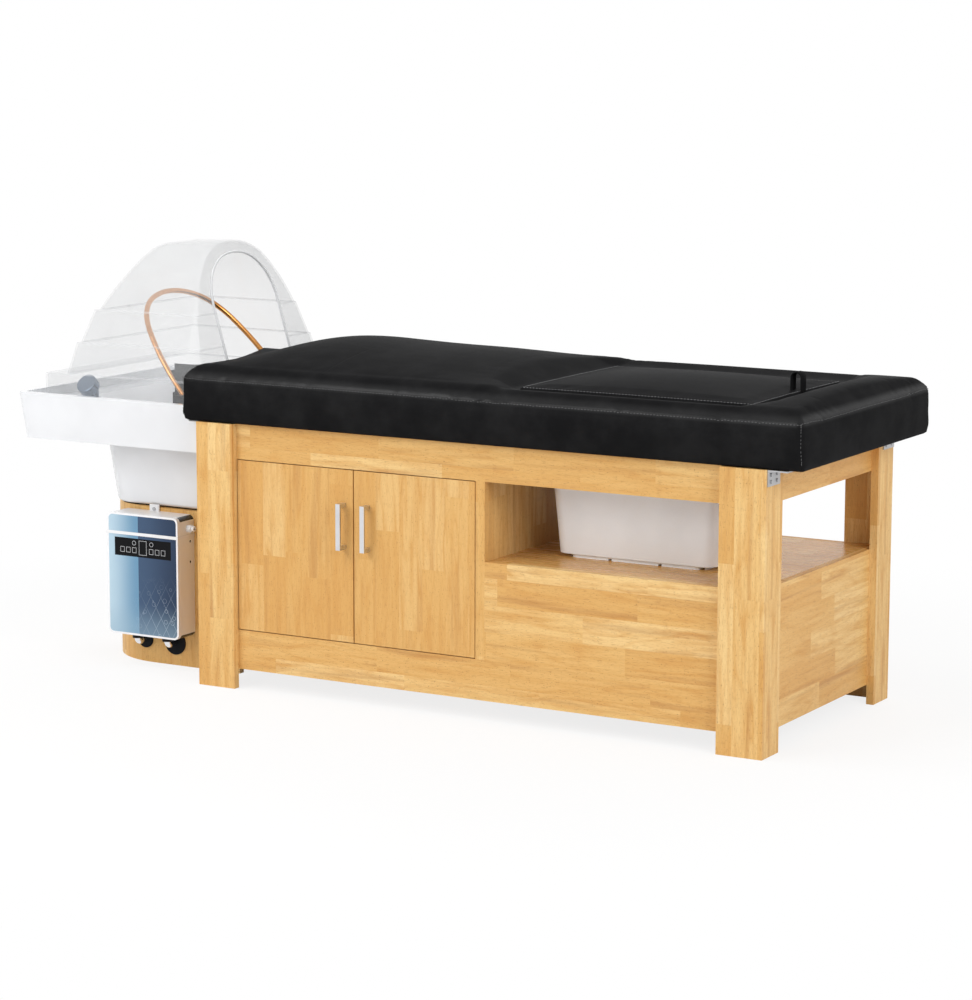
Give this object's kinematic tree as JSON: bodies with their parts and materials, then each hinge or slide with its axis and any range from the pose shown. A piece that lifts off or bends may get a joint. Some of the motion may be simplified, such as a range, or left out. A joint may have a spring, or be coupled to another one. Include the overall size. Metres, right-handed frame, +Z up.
{
  "type": "hair washing bed",
  "caption": "Wooden salon bed with a leather mattress, cupboard, foot tub under a hatch, and a wash basin with steam hood, water hoop and heater at the head end.",
  "frame": {"origin": "on the floor, under the middle of the overall box", "axes": "+X from the basin end to the foot end, +Y from the cupboard side to the back, +Z up"},
  "size_m": [1.973, 0.674, 0.961],
  "materials": {
    "rubberwood": "clear satin lacquer over finger-jointed boards",
    "plywood": "plain sanded plywood",
    "black_leather": "fine-grained, soft sheen, black stitching",
    "white_acrylic": "glossy moulded acrylic",
    "white_tub": "smooth moulded plastic",
    "white_case": "smooth moulded plastic",
    "black_panel": "glossy touch panel",
    "clear_acrylic": "clear, slightly frosted",
    "copper": "polished rose gold",
    "black_plastic": "moulded",
    "black_rubber": "soft matte rubber",
    "grey_hose": "smooth hose",
    "chrome": "polished",
    "brushed_steel": "brushed",
    "waste_plastic": "moulded pipe",
    "zinc_steel": "zinc plated",
    "circuit_board": "lacquered board"
  },
  "bodies": {
    "bed": {"basin": "white_acrylic", "basin_underpan": "white_acrylic", "basin_waste": "brushed_steel", "bay_shelf": "rubberwood", "bearers": "plywood", "bowl_shell": "white_acrylic", "cupboard_back": "rubberwood", "cupboard_divider": "rubberwood", "cupboard_floor": "rubberwood", "cupboard_side": "rubberwood", "elbow_grommets": "black_rubber", "elbow_nuts": "black_plastic", "elbows": "chrome", "fixing_screws": "zinc_steel", "foot_brackets": "zinc_steel", "foot_lower_panel": "rubberwood", "foot_top_rail": "rubberwood", "foot_tub": "white_tub", "front_bottom_rail": "rubberwood", "front_lower_panel": "rubberwood", "front_top_rail": "rubberwood", "head_panel": "rubberwood", "heater_back": "white_case", "heater_band": "white_case", "heater_circuit": "circuit_board", "heater_cover": "white_case", "heater_display": "black_panel", "heater_gland": "white_case", "heater_hoses": "grey_hose", "heater_pump": "black_plastic", "heater_tank": "brushed_steel", "hinge_arms": "zinc_steel", "hoop_feet": "black_plastic", "leg_foot_front": "rubberwood", "leg_foot_rear": "rubberwood", "leg_head_front": "rubberwood", "leg_head_rear": "rubberwood", "mattress_board": "plywood", "mattress_pad": "black_leather", "neck_rest": "black_rubber", "rear_lower_panel": "rubberwood", "rear_top_rail": "rubberwood", "stand_ring": "plywood", "stand_seal": "black_rubber", "stand_shell": "rubberwood", "tap_body": "chrome", "tub_waste": "waste_plastic"},
    "left_door": {"door_left": "rubberwood", "handle_left": "brushed_steel", "hinge_cups_left": "zinc_steel"},
    "right_door": {"door_right": "rubberwood", "handle_right": "brushed_steel", "hinge_cups_right": "zinc_steel"},
    "hatch": {"hatch_board": "plywood", "hatch_pad": "black_leather", "hatch_loop": "black_leather"},
    "hood": {"steam_hood": "clear_acrylic"},
    "hoop": {"hoop_tube": "copper", "hoop_collars": "black_plastic"},
    "knob": {"tap_knob": "chrome"}
  },
  "joints": [
    {"name": "left_door_hinge", "type": "hinge", "parent": "bed", "child": "left_door", "pos_m": [-0.3745, -0.308, 0.3215], "axis": [0, 0, -1], "range_deg": [0, 90]},
    {"name": "right_door_hinge", "type": "hinge", "parent": "bed", "child": "right_door", "pos_m": [0.2265, -0.308, 0.3215], "axis": [0, 0, 1], "range_deg": [0, 100]},
    {"name": "hatch_hinge", "type": "hinge", "parent": "bed", "child": "hatch", "pos_m": [0.2805, 0, 0.7155], "axis": [0, -1, 0], "range_deg": [0, 168]},
    {"name": "hood_lift", "type": "slide", "parent": "bed", "child": "hood", "axis": [0, 0, 1], "range_m": [0, 0.3]},
    {"name": "hoop_tilt", "type": "hinge", "parent": "bed", "child": "hoop", "pos_m": [-0.58311, 0, 0.61183], "axis": [0, 1, 0], "range_deg": [-15, 36]},
    {"name": "tap_turn", "type": "hinge", "parent": "bed", "child": "knob", "pos_m": [-0.8555, -0.19519, 0.62271], "axis": [0, -0.766, 0.6428], "range_deg": [0, 90]}
  ]
}
